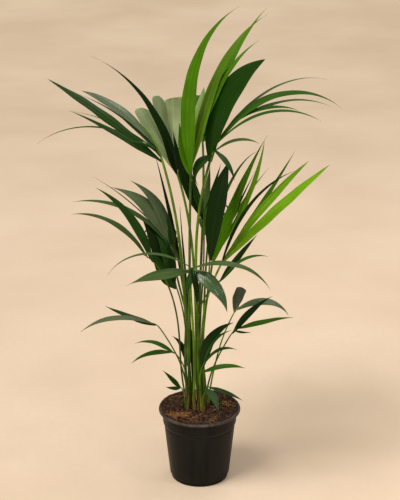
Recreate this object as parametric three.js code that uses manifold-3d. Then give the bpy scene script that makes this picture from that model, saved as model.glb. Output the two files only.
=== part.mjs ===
import * as THREE from 'three';
import { mergeVertices } from 'three/addons/utils/BufferGeometryUtils.js';
import Module from 'manifold-3d';

// A kentia palm in its nursery pot. Millimetres, +Z up. The origin is the centre of the pot's flat
// underside. Headings are degrees in plan, counted from +X towards +Y; a rise is degrees above level.

const wasm = await Module();
wasm.setup();

const GAP = 0.3; // between two solids that touch
const DEGREE = Math.PI / 180;

// ---------------------------------------------------------------- pot and soil
const POT = {
  height: 175,
  footRadius: 66, // the recessed foot that stands on the floor
  footHeight: 9,
  wallRadius: 69.4, // outside, just above the foot
  shoulderHeight: 133, // where the wall steps out into the collar
  shoulderRadius: 82.4,
  collarHeight: 141,
  collarRadius: 85.6,
  collarFlare: 0.8, // how much wider the collar is under the lip
  lipRadius: 95,
  lipHeight: 8,
  lipWidth: 5.5,
  lipRound: 1.5,
  wall: 2.2,
  floor: 3,
  floorRound: 2.5,
  footStep: 5, // the height over which the inside widens above the foot
  sides: 36,
};
const DRAIN = { headings: [0, 90, 180], width: 16, height: 5.5, depth: 3 }; // slots in the foot's edge
const SOIL = { height: 172, bevel: 1.5, sides: 32 };

// ---------------------------------------------------------------- how the palm grows
const STEM = { height: 25, footSpread: 1.04, topTaper: 0.92, sides: 14 }; // above the soil
const LIMB_SIDES = 5;
const PETIOLE_STEPS = 7;
const SPEAR = { steps: 10, footShare: 0.6, thickestAt: 0.75, tip: 0.4 };
const FOOT_REACH = 0.4; // how far a petiole keeps its first direction, as a share of its length
const TIP_REACH = 0.35; // the same back from its tip
const RIB = { curl: 1.4, steps: 4, tip: 1.1 };
const LEAF = {
  steps: 4,
  bendPerStep: 45, // degrees of droop that add one more step
  thinness: 105, // length over thickness
  thickest: 3.8,
  thinnest: 1.6,
  tipThinning: 0.6, // the share of its thickness lost at the tip
  widestAt: 0.38, // share of the length
  rootWidth: 0.2, // share of the full width
  tipPower: 1.1,
  leastHalf: 0.7, // half the width at the very tip
  rollLoss: 0.4, // the roll eases by this share towards the tip
};
const BLUNT = { rootWidth: 0.3, widening: 2, roundsFrom: 0.9, end: 0.25 }; // rounded leaflets
const FAN = { start: 0.1, least: 0.8, swell: 0.3, closing: 0.62, roll: 18 };
const SIMPLIFY = 0.1;

// Short sheathed stems: [x, y, radius] on the soil
const STEMS = [
  [-28, -4, 8.5],
  [-19, 16, 9.5],
  [-10, -11, 8.5],
  [-1, 9, 9.5],
  [3, 28, 9],
  [17.5, 3.5, 8.5],
  [8.5, -14, 9],
];

// Each frond: where its petiole stands and ends, how its rib leaves the petiole and bows over, and
// its leaflets: [share of the rib, length, width, heading, rise, droop, roll, 1 if its end is blunt].
const FRONDS = [
  { name: 'upper_left', look: 'mid', foot: [-18.5, 13], top: [-80, 10, 764],
    heading: 172, rise: 74, bow: 35, ribLength: 105, lean: [-18, 0], pull: 0.9, curl: 1.4, radii: [3.8, 2.7],
    leaflets: [
      [0.03, 325, 34, 200, 44, 11, -40],
      [0.15, 235, 32, 160, 55, 48, -20],
      [0.3, 210, 9, 170, 45, 27, -10],
      [0.05, 265, 26, 212, 38, 12, -40],
      [0.3, 285, 10, 186, 35, 74, -5],
      [0.25, 215, 8, 165, 35, 33, 0],
      [0.15, 105, 9, 215, 50, 56, -40],
    ] },
  { name: 'back_left', look: 'dark', foot: [-5, 13], top: [-48, 62, 718],
    heading: 125, rise: 58, bow: 10, ribLength: 95, lean: [-4, 0], pull: 0.8, curl: 1.4, radii: [3.2, 2.6],
    leaflets: [
      [0.02, 340, 28, 175, 78, 56, -40],
      [0.25, 160, 38, 140, 69, -11, -5, 1],
      [0.12, 160, 46, 150, 57, 0, -25, 1],
      [0.5, 135, 60, 75, 66, -45, -35, 1],
    ] },
  { name: 'centre', look: 'bright', foot: [-24.5, -5.5], top: [-19, -22, 744],
    heading: 85, rise: 75, bow: 10, ribLength: 60, lean: [2, 0], pull: 1, curl: 2.2, radii: [3.4, 2.6],
    leaflets: [
      [0.1, 400, 34, 20, 95, 72, 60],
      [0.35, 385, 28, 30, 76, 57, 25],
      [0.8, 375, 20, 45, 60, 30, 5],
      [0.9, 285, 24, 15, 70, 40, 30],
      [0.5, 165, 38, 60, 71, 3, -20],
      [0.05, 115, 34, 130, 67, -10, 15],
    ] },
  { name: 'upper_right', look: 'dark', foot: [-4, 5], top: [22, 3, 766],
    heading: 15, rise: 73, bow: 32, ribLength: 105, lean: [5, 0], pull: 0.9, curl: 1.4, radii: [3.6, 2.8],
    leaflets: [
      [0.02, 275, 53, 350, 88, 60, 90],
      [0.7, 280, 11, 20, 50, 68, 5],
      [0.55, 315, 28, 352, 57, 99, 25],
      [0.9, 240, 18, 8, 34, 62, 5],
      [1, 165, 18, 335, 37, 52, 20],
      [0.45, 280, 15, 330, 48, 71, 25],
      [0.25, 140, 16, 320, 42, 57, 30],
      [0.3, 105, 24, 300, 1, 71, -25],
      [0.2, 95, 34, 200, -14, 125, -10],
    ] },
  { name: 'slim_middle', look: 'mid', foot: [3.5, 9.5], top: [10, 26, 624],
    heading: 100, rise: 84, bow: 6, ribLength: 34, lean: [-10, 0], pull: 1, curl: 1.4, radii: [2.4, 1.7],
    leaflets: [
      [0.1, 215, 30, 165, 64, -16, -40],
      [0.45, 100, 22, 150, 69, -6, -10],
      [0.6, 115, 15, 35, 65, -2, -5],
      [0.9, 95, 22, 20, 78, -7, 20],
    ] },
  { name: 'dark_middle', look: 'dark', foot: [14, -0.8], top: [22, -48, 549],
    heading: 70, rise: 85, bow: 0, ribLength: 25, lean: [-20, 0], pull: 1, curl: 1.4, radii: [2.3, 1.7],
    leaflets: [
      [0.3, 225, 46, 40, 87, 26, 20],
      [0.9, 315, 12, 58, 73, 81, -30],
    ] },
  { name: 'right_inner', look: 'bright', foot: [8, 25], top: [28, 24, 517],
    heading: 50, rise: 78, bow: 10, ribLength: 40, lean: [-11, -6], pull: 1, curl: 1.4, radii: [3, 2.4],
    leaflets: [
      [0.1, 320, 26, 15, 73, 15, 50],
      [0.5, 295, 20, 5, 57, -25, 30],
      [0.9, 225, 12, 25, 60, 18, 0],
      [0.6, 215, 12, 15, 64, 1, 15],
    ] },
  { name: 'right_outer', look: 'bright', foot: [16, 8], top: [44, -14, 526],
    heading: 20, rise: 62, bow: 8, ribLength: 55, lean: [-12, 0], pull: 1, curl: 1.4, radii: [3.2, 2.4],
    leaflets: [
      [0.3, 340, 30, 345, 50, 9, 50],
      [0.6, 280, 26, 10, 55, 15, 25],
      [0.8, 270, 18, 30, 49, -3, 5],
      [0.1, 330, 14, 325, 73, 47, 65],
    ] },
  { name: 'right_low', look: 'dark', foot: [8, -7.5], top: [39, -58, 508],
    heading: 350, rise: 45, bow: 10, ribLength: 30, lean: [10, 0], pull: 1, curl: 1.4, radii: [1.9, 1.5],
    leaflets: [
      [0.2, 135, 26, 10, 55, 10, 15],
      [0.6, 140, 16, 330, 59, 63, 30],
    ] },
  { name: 'front', look: 'grey', foot: [-13.5, -13], top: [-18, -88, 546],
    heading: 275, rise: 50, bow: 30, ribLength: 34, lean: [8, 0], pull: 1, curl: 1.4, radii: [3.2, 2.3],
    leaflets: [
      [0.25, 155, 34, 205, 6, 24, -25],
      [0.35, 130, 36, 325, -11, 69, 30],
      [0.7, 210, 11, 190, 39, 98, -10],
      [0.8, 195, 22, 345, 24, 84, 10],
      [0.95, 60, 22, 245, -55, 22, 25],
      [0.9, 90, 20, 290, -40, 67, -35],
    ] },
  { name: 'left_slim', look: 'mid', foot: [-32, -0.5], top: [-76, -58, 518],
    heading: 200, rise: 66, bow: 35, ribLength: 85, lean: [-24, 0], pull: 1, curl: 1.4, radii: [2.1, 1.8],
    leaflets: [
      [0.8, 210, 24, 190, 61, 66, -20],
      [0.6, 215, 30, 175, 73, 47, -30],
    ] },
  { name: 'left_lower', look: 'mid', foot: [-25, 0.8], top: [-48, -18, 470],
    heading: 165, rise: 72, bow: 25, ribLength: 90, lean: [-14, 0], pull: 1, curl: 1.4, radii: [2, 1.6],
    leaflets: [
      [0.1, 120, 38, 200, 56, -5, -70],
      [0.35, 155, 44, 160, 68, 16, -45],
      [0.2, 105, 24, 128, 86, 32, 15],
      [0.6, 90, 28, 146, 92, 64, -15],
    ] },
  { name: 'left_upper', look: 'grey', foot: [-25, 17.5], top: [-53, 24, 550],
    heading: 185, rise: 66, bow: 35, ribLength: 60, lean: [-26, 0], pull: 1, curl: 1.4, radii: [3.4, 2.8],
    leaflets: [
      [0.2, 225, 38, 190, 71, 61, -65],
      [0.45, 175, 34, 172, 83, 60, -40],
      [0.1, 85, 22, 150, 82, 9, -15],
      [0.6, 255, 22, 200, 51, 56, -25],
      [0.35, 240, 8, 186, 53, 22, -10],
    ] },
  { name: 'left_arch', look: 'grey', foot: [-28.5, -10.3], top: [-88, -34, 387],
    heading: 200, rise: 58, bow: 40, ribLength: 26, lean: [0, 0], pull: 0.8, curl: 1.4, radii: [2, 1.4],
    leaflets: [
      [0.6, 125, 26, 185, 21, -6, -10],
      [0.9, 185, 24, 205, 30, 64, -10],
    ] },
  { name: 'left_short', look: 'mid', foot: [-23.6, 9.6], top: [-45, 4, 295],
    heading: 190, rise: 60, bow: 30, ribLength: 28, lean: [0, 0], pull: 0.6, curl: 1.4, radii: [2, 1.4],
    leaflets: [
      [0.7, 105, 20, 165, 38, 75, 0],
      [0.95, 105, 22, 200, 17, 61, -5],
    ] },
  { name: 'left_sprout', look: 'mid', foot: [-33.6, -7], top: [-40, -8, 224],
    heading: 200, rise: 60, bow: 10, ribLength: 8, lean: [0, 0], pull: 0.5, curl: 1.4, radii: [1.9, 1.4],
    leaflets: [
      [0.5, 60, 20, 170, 52, 22, -10],
      [0.9, 45, 16, 215, 3, -34, -15],
    ] },
  { name: 'right_arch', look: 'grey', foot: [22.5, 2.5], top: [77, 0, 409],
    heading: 10, rise: 62, bow: 20, ribLength: 22, lean: [8, 0], pull: 0.6, curl: 1.4, radii: [2, 1.4],
    leaflets: [
      [0.2, 60, 26, 50, 74, 25, 20, 1],
      [0.6, 140, 30, 350, 40, 106, 15],
    ] },
  { name: 'right_reach', look: 'dark', foot: [13.5, -12], top: [70, -44, 376],
    heading: 350, rise: 60, bow: 20, ribLength: 26, lean: [8, 0], pull: 0.6, curl: 1.4, radii: [2, 1.4],
    leaflets: [
      [0.2, 130, 26, 358, 59, 32, 25],
      [0.9, 145, 22, 335, 26, 13, 20],
      [0.6, 55, 10, 315, 5, -19, 10],
    ] },
  { name: 'middle_low', look: 'mid', foot: [3, -15], top: [1, -50, 280],
    heading: 330, rise: 78, bow: 20, ribLength: 40, lean: [0, 0], pull: 0.6, curl: 1.4, radii: [2.8, 1.8],
    leaflets: [
      [0.4, 150, 32, 350, 87, 68, 60],
      [0.6, 130, 14, 335, 78, 55, 60],
      [0.7, 125, 14, 320, 61, 65, 45],
      [0.2, 165, 24, 310, 33, 24, 25],
    ] },
  { name: 'soil_leaf', look: 'dark', foot: [8, -19.5], top: [17, -36, 238],
    heading: 320, rise: 60, bow: 10, ribLength: 10, lean: [0, 0], pull: 0.5, curl: 1.4, radii: [2.2, 1.5],
    leaflets: [
      [0.3, 80, 24, 290, 7, 63, -15],
      [0.9, 85, 20, 350, -12, 19, 5],
    ] },
  { name: 'behind_left', look: 'mid', foot: [-20.5, 22.8], top: [-27, 46, 257],
    heading: 150, rise: 70, bow: 10, ribLength: 20, lean: [0, 0], pull: 0.6, curl: 1.4, radii: [2.4, 1.6],
    leaflets: [
      [0.4, 80, 22, 165, 92, 75, -20],
      [0.8, 65, 24, 30, 59, -35, 0],
    ] },
  { name: 'back_tall', look: 'mid', foot: [-1.5, 24.5], top: [8, 112, 765],
    heading: 94, rise: 50, bow: 45, ribLength: 130, lean: [-6, 6], pull: 0.7, curl: 1.4, radii: [3.2, 2.5],
    fan: { count: 8, length: 170, width: 32, spread: 20, rise: 26, droop: 85 } },
  { name: 'back_right', look: 'mid', foot: [6.5, 32], top: [18, 106, 528],
    heading: 84, rise: 48, bow: 45, ribLength: 115, lean: [0, 0], pull: 0.7, curl: 1.4, radii: [2.9, 2.2],
    fan: { count: 7, length: 155, width: 30, spread: 17, rise: 32, droop: 86 } },
  { name: 'back_left_low', look: 'mid', foot: [-0.5, 32.8], top: [-56, 89, 488],
    heading: 104, rise: 48, bow: 45, ribLength: 115, lean: [0, 0], pull: 0.7, curl: 1.4, radii: [2.9, 2.2],
    fan: { count: 7, length: 155, width: 30, spread: 18, rise: 22, droop: 82 } },
];

// Unopened leaves: slim spears that swell and then taper to a point
const SPEARS = [
  { name: 'left', foot: [-13, 20.5], top: [-96, 48, 763], heading: 172, rise: 76,
    lean: [-10, 15], pull: 0.9, radius: 4.2 },
  { name: 'middle', foot: [-10.2, -4.8], top: [-43, -10, 671], heading: 175, rise: 87,
    lean: [-6, 0], pull: 0.9, radius: 2 },
];

// ---------------------------------------------------------------- shapes
function direction(heading, rise) {
  const level = Math.cos(rise * DEGREE);
  return new THREE.Vector3(
    Math.cos(heading * DEGREE) * level,
    Math.sin(heading * DEGREE) * level,
    Math.sin(rise * DEGREE),
  );
}

// A line that starts at base and bends down by droop degrees over its length
function growLine(base, length, heading, rise, droop, curl, steps) {
  const fine = 4;
  const count = steps * fine;
  const points = [base.clone()];
  const tangents = [direction(heading, rise)];
  const at = base.clone();
  for (let i = 0; i < count; i++) {
    const middle = (i + 0.5) / count;
    at.addScaledVector(direction(heading, rise - droop * middle ** curl), length / count);
    if ((i + 1) % fine === 0) {
      points.push(at.clone());
      tangents.push(direction(heading, rise - droop * ((i + 1) / count) ** curl));
    }
  }
  return { points, tangents };
}

// Whether the corner d lies behind the triangle a, b, c
function isBehind(a, b, c, d) {
  const normal = new THREE.Vector3().subVectors(b, a).cross(new THREE.Vector3().subVectors(c, a));
  return new THREE.Vector3().subVectors(d, a).dot(normal) < 0;
}

// One closed skin over rings of equal count, with a flat cap at each end. Each twisted four-cornered
// patch is split along the diagonal that bulges outwards, so a thin blade doesn't cross itself.
function loft(rings) {
  const count = rings[0].length;
  const corners = rings.flat();
  const vertices = corners.flatMap((point) => point.toArray());
  const faces = [];
  for (let r = 0; r + 1 < rings.length; r++) {
    for (let i = 0; i < count; i++) {
      const a = r * count + i;
      const b = r * count + ((i + 1) % count);
      const c = b + count;
      const d = a + count;
      if (isBehind(corners[a], corners[b], corners[c], corners[d])) {
        faces.push(a, b, c, a, c, d);
      } else {
        faces.push(a, b, d, b, c, d);
      }
    }
  }
  const last = (rings.length - 1) * count;
  for (let i = 1; i + 1 < count; i++) {
    faces.push(0, i + 1, i);
    faces.push(last, last + i, last + i + 1);
  }
  const geometry = new THREE.BufferGeometry();
  geometry.setAttribute('position', new THREE.Float32BufferAttribute(vertices, 3));
  geometry.setIndex(faces);
  return geometry;
}

// A round limb along points; radiusAt gives the radius for the share of the way along
function limb(points, radiusAt) {
  const rings = [];
  const tangent = new THREE.Vector3();
  let across = new THREE.Vector3(1, 0, 0);
  for (let i = 0; i < points.length; i++) {
    const before = points[Math.max(i - 1, 0)];
    const after = points[Math.min(i + 1, points.length - 1)];
    tangent.subVectors(after, before).normalize();
    across = across.clone().addScaledVector(tangent, -across.dot(tangent)).normalize();
    const along = new THREE.Vector3().crossVectors(tangent, across);
    const radius = radiusAt(i / (points.length - 1));
    const ring = [];
    for (let k = 0; k < LIMB_SIDES; k++) {
      const turn = (2 * Math.PI * k) / LIMB_SIDES;
      const corner = points[i].clone();
      corner.addScaledVector(across, radius * Math.cos(turn));
      corner.addScaledVector(along, radius * Math.sin(turn));
      ring.push(corner);
    }
    rings.push(ring);
  }
  return loft(rings);
}

const taper = (from, to) => (share) => from + (to - from) * share;

// A leaflet's half-width along its length, as a share of its widest: pointed or rounded
function leafShare(share, blunt) {
  if (blunt) {
    const past = Math.max(0, (share - BLUNT.roundsFrom) / (1 - BLUNT.roundsFrom));
    const round = Math.max(BLUNT.end, Math.sqrt(1 - past ** 2));
    return Math.min(1, BLUNT.rootWidth + BLUNT.widening * share) * round;
  }
  const opening = Math.sin((Math.min(share / LEAF.widestAt, 1) * Math.PI) / 2);
  const past = Math.max(0, (share - LEAF.widestAt) / (1 - LEAF.widestAt));
  const closing = Math.max(0, Math.cos((past * Math.PI) / 2)) ** LEAF.tipPower;
  return (LEAF.rootWidth + (1 - LEAF.rootWidth) * opening) * closing;
}

// One leaflet: two edges and a raised midrib, in three-cornered sections
function leaflet(base, row, curl) {
  const [, length, width, heading, rise, droop, roll, blunt] = row;
  const steps = LEAF.steps + Math.round(Math.abs(droop) / LEAF.bendPerStep);
  const { points, tangents } = growLine(base, length, heading, rise, droop, curl, steps);
  const side = direction(heading + 90, 0);
  const thickness = THREE.MathUtils.clamp(length / LEAF.thinness, LEAF.thinnest, LEAF.thickest);
  const rings = points.map((point, i) => {
    const share = i / steps;
    const above = new THREE.Vector3().crossVectors(tangents[i], side);
    const turn = roll * (1 - LEAF.rollLoss * share) * DEGREE;
    const across = side.clone().multiplyScalar(Math.cos(turn)).addScaledVector(above, Math.sin(turn));
    const face = new THREE.Vector3().crossVectors(tangents[i], across);
    const half = Math.max((width / 2) * leafShare(share, blunt), LEAF.leastHalf);
    const ridge = (thickness * (1 - LEAF.tipThinning * share)) / 2;
    return [
      point.clone().addScaledVector(across, half).addScaledVector(face, -ridge),
      point.clone().addScaledVector(face, ridge),
      point.clone().addScaledVector(across, -half).addScaledVector(face, -ridge),
    ];
  });
  return loft(rings);
}

// ---------------------------------------------------------------- solids
function toSolid(geometry) {
  const bare = geometry.clone();
  bare.deleteAttribute('normal');
  bare.deleteAttribute('uv');
  const merged = mergeVertices(bare, 1e-4);
  return new wasm.Manifold(new wasm.Mesh({
    numProp: 3,
    vertProperties: new Float32Array(merged.attributes.position.array),
    triVerts: new Uint32Array(merged.index.array),
  }));
}

function toGeometry(solid) {
  const mesh = solid.getMesh();
  const geometry = new THREE.BufferGeometry();
  geometry.setAttribute('position', new THREE.BufferAttribute(new Float32Array(mesh.vertProperties), 3));
  geometry.setIndex(new THREE.BufferAttribute(new Uint32Array(mesh.triVerts), 1));
  return geometry;
}

// A turned solid from [radius, height] pairs
function turned(profile, sides) {
  const outline = profile.map(([radius, height]) => new THREE.Vector2(radius, height));
  return toSolid(new THREE.LatheGeometry(outline, sides).rotateX(Math.PI / 2));
}

// ---------------------------------------------------------------- pot and soil, as solids
const potSlope = (POT.shoulderRadius - POT.wallRadius) / (POT.shoulderHeight - POT.footHeight);
const insideRadius = (z) => POT.wallRadius - POT.wall + potSlope * (z - POT.footHeight);
const collarInside = POT.collarRadius - POT.wall;
const footInside = POT.footRadius - 2 * POT.wall;
const lipInside = POT.lipRadius - POT.lipWidth;
const ledge = POT.height - POT.lipHeight / 2; // where the inside has widened to the lip

function pot() {
  const p = POT;
  const lipFoot = p.height - p.lipHeight;
  const profile = [
    [0, 0],
    [p.footRadius - p.lipRound, 0],
    [p.footRadius, p.lipRound],
    [p.footRadius, p.footHeight - 1],
    [p.wallRadius, p.footHeight + 2],
    [p.shoulderRadius, p.shoulderHeight],
    [p.collarRadius, p.collarHeight],
    [p.collarRadius + p.collarFlare, lipFoot],
    [p.lipRadius - p.lipRound, lipFoot + p.lipRound / 3],
    [p.lipRadius, lipFoot + p.lipHeight / 2],
    [p.lipRadius - p.lipRound, p.height - p.lipRound / 2],
    [p.lipRadius - 2.5 * p.lipRound, p.height],
    [lipInside, p.height - 0.2 * p.lipRound],
    [lipInside - 1, ledge],
    [collarInside, lipFoot],
    [collarInside - p.collarFlare, p.collarHeight],
    [insideRadius(p.shoulderHeight), p.shoulderHeight],
    [insideRadius(p.footHeight + p.footStep), p.footHeight + p.footStep],
    [footInside, p.footHeight],
    [footInside, p.floor + p.floorRound],
    [footInside - p.floorRound, p.floor],
    [0, p.floor],
  ];
  let solid = turned(profile, p.sides);
  for (const heading of DRAIN.headings) {
    const slot = new THREE.BoxGeometry(DRAIN.depth * 2, DRAIN.width, DRAIN.height * 2);
    slot.translate(p.footRadius, 0, 0);
    slot.rotateZ(heading * DEGREE);
    solid = solid.subtract(toSolid(slot));
  }
  return toGeometry(solid);
}

function soil() {
  const p = POT;
  const clear = 2 * GAP; // inside a many-sided wall
  const profile = [
    [0, p.floor + GAP],
    [footInside - p.floorRound - clear, p.floor + GAP],
    [footInside - clear, p.floor + p.floorRound],
    [footInside - clear, p.footHeight + GAP],
    [insideRadius(p.footHeight + p.footStep) - clear, p.footHeight + p.footStep + GAP],
    [insideRadius(p.shoulderHeight) - clear, p.shoulderHeight + GAP],
    [collarInside - p.collarFlare - clear, p.collarHeight + GAP],
    [collarInside - clear, p.height - p.lipHeight + GAP],
    [lipInside - 1 - clear - GAP, ledge + GAP],
    [lipInside - 1 - clear - SOIL.bevel, SOIL.height],
    [0, SOIL.height],
  ];
  return toGeometry(turned(profile, SOIL.sides));
}

function stem([x, y, radius]) {
  const profile = [
    [0, SOIL.height + GAP],
    [radius * STEM.footSpread, SOIL.height + GAP],
    [radius * (STEM.footSpread + STEM.topTaper) / 2, SOIL.height + STEM.height / 2],
    [radius * STEM.topTaper, SOIL.height + STEM.height],
    [0, SOIL.height + STEM.height],
  ];
  return toGeometry(turned(profile, STEM.sides)).translate(x, y, 0);
}

// ---------------------------------------------------------------- petioles, blades and spears
function petioleLine(frond, steps) {
  const foot = new THREE.Vector3(frond.foot[0], frond.foot[1], SOIL.height + STEM.height);
  const top = new THREE.Vector3(...frond.top);
  const reach = foot.distanceTo(top);
  const lean = new THREE.Vector3(frond.lean[0], frond.lean[1], FOOT_REACH * reach);
  const pull = direction(frond.heading, frond.rise).multiplyScalar(TIP_REACH * reach * frond.pull);
  const curve = new THREE.CubicBezierCurve3(foot, foot.clone().add(lean), top.clone().sub(pull), top);
  const points = [];
  for (let i = 0; i <= steps; i++) points.push(curve.getPoint(i / steps));
  points[0].z += GAP;
  return points;
}

// The petiole as a tapering limb, or grown by extra on all sides
function petiole(frond, extra = 0) {
  const points = petioleLine(frond, PETIOLE_STEPS);
  points[0].z -= extra;
  points[PETIOLE_STEPS].addScaledVector(direction(frond.heading, frond.rise), extra);
  return limb(points, taper(frond.radii[0] + extra, frond.radii[1] + extra));
}

function pointAlong(points, share) {
  const place = share * (points.length - 1);
  const i = Math.min(Math.floor(place), points.length - 2);
  return points[i].clone().lerp(points[i + 1], place - i);
}

// Leaflets that follow a plain rule: they alternate, are longest mid-rib and turn forward at its end
function fanRows(frond) {
  const { count, length, width, spread, rise, droop } = frond.fan;
  const rows = [];
  for (let i = 0; i < count; i++) {
    const side = i % 2 ? 1 : -1;
    const share = (i + 0.5) / count;
    const size = FAN.least + FAN.swell * Math.sin(Math.PI * share);
    const heading = frond.heading + side * spread * (1 - FAN.closing * share);
    const at = FAN.start + (1 - FAN.start) * share;
    rows.push([at, length * size, width * size, heading, rise, droop, -side * FAN.roll]);
  }
  return rows;
}

// A frond's blade: the rib with its leaflets fused on, cut clear of the petiole that carries it
function blade(frond) {
  const { heading, rise, bow, ribLength } = frond;
  const top = new THREE.Vector3(...frond.top);
  const rib = growLine(top, ribLength, heading, rise, bow, RIB.curl, RIB.steps).points;
  const core = rib.map((point) => point.clone());
  core[0].addScaledVector(direction(heading, rise), GAP);
  let solid = toSolid(limb(core, taper(frond.radii[1], RIB.tip)));
  for (const row of frond.leaflets ?? fanRows(frond)) {
    solid = solid.add(toSolid(leaflet(pointAlong(rib, row[0]), row, frond.curl)));
  }
  solid = solid.subtract(toSolid(petiole(frond, GAP))).simplify(SIMPLIFY);
  return solid.decompose().reduce((a, b) => (b.volume() > a.volume() ? b : a));
}

function spear(row) {
  const swell = (share) => {
    const opening = SPEAR.footShare + (1 - SPEAR.footShare) * (share / SPEAR.thickestAt);
    const closing = (1 - share) / (1 - SPEAR.thickestAt);
    return row.radius * Math.min(opening, closing) + SPEAR.tip;
  };
  return limb(petioleLine(row, SPEAR.steps), swell);
}

// ---------------------------------------------------------------- the plant
const MATERIALS = {
  pot: { color: 0x1b1917, roughness: 0.5 },
  soil: { color: 0x3a281b, roughness: 1 },
  stem: { color: 0x5b5a2a, roughness: 0.8 },
  petiole: { color: 0x5f8f1e, roughness: 0.45 },
  dark: { color: 0x1f3a12, roughness: 0.45 },
  mid: { color: 0x3c6420, roughness: 0.5 },
  grey: { color: 0x5f7250, roughness: 0.4 },
  bright: { color: 0x6da226, roughness: 0.5 },
};

const group = new THREE.Group();

function place(name, geometry, look) {
  geometry.computeVertexNormals();
  const mesh = new THREE.Mesh(geometry, new THREE.MeshStandardMaterial({ ...MATERIALS[look], metalness: 0 }));
  mesh.name = name;
  group.add(mesh);
}

place('pot', pot(), 'pot');
place('soil', soil(), 'soil');
STEMS.forEach((row, i) => place(`stem_${i + 1}`, stem(row), 'stem'));
for (const frond of FRONDS) {
  place(`petiole_${frond.name}`, petiole(frond), 'petiole');
  place(`frond_${frond.name}`, toGeometry(blade(frond)), frond.look);
}
for (const row of SPEARS) place(`spear_${row.name}`, spear(row), 'dark');

export default group;
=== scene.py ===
import random
from math import atan2, cos, degrees, exp, hypot, pi, radians, sin, sqrt

import bpy
import numpy as np
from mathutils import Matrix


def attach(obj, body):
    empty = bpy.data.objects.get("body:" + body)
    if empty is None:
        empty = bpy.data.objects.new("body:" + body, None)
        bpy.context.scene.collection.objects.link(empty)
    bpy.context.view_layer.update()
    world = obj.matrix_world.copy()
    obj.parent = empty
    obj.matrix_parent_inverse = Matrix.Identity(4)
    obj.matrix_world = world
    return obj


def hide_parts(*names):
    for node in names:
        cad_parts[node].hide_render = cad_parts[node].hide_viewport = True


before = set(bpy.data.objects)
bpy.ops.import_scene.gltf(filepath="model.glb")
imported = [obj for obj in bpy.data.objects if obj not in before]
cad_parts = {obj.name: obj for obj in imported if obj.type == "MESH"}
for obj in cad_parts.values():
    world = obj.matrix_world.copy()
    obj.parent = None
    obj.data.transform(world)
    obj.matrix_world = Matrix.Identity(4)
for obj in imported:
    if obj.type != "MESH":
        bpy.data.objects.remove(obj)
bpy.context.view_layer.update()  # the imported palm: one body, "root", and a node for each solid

# A kentia palm in a black nursery pot, dressed for rendering. Sizes are millimetres, as in the part's
# source, and become metres where a mesh is made. Headings are degrees in plan from +X towards +Y; a
# rise is degrees above level.

MM = 0.001
SCENE = bpy.context.scene

# ---- sizes shared with the part's source
POT = dict(height=175, foot_radius=66, foot_height=9, wall_radius=69.4, shoulder_height=133,
           shoulder_radius=82.4, collar_height=141, collar_radius=85.6, collar_flare=0.8,
           lip_radius=95, lip_height=8, lip_width=5.5, wall=2.2)
DRAIN = dict(headings=(0, 90, 180), width=16, height=5.5, depth=3)
SOIL_TOP = 172
STEM_HEIGHT = 25
FOOT_REACH = 0.4  # how far a petiole keeps its first direction, as a share of its length
TIP_REACH = 0.35  # the same back from its tip
CURL = 1.4  # how late a rib or a leaflet bends over
RIB_TIP = 1.1  # a rib's radius at its tip
LEAF_ROOT = 0.2  # a leaflet's width at its root, as a share of its widest
ROLL_LOSS = 0.4  # its roll eases by this share towards the tip
FAN = dict(start=0.1, least=0.8, swell=0.3, closing=0.62, roll=18)

# Short sheathed stems: (x, y, radius) on the soil
STEMS = [(-28, -4, 8.5), (-19, 16, 9.5), (-10, -11, 8.5), (-1, 9, 9.5), (3, 28, 9), (17.5, 3.5, 8.5),
         (8.5, -14, 9)]

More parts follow.
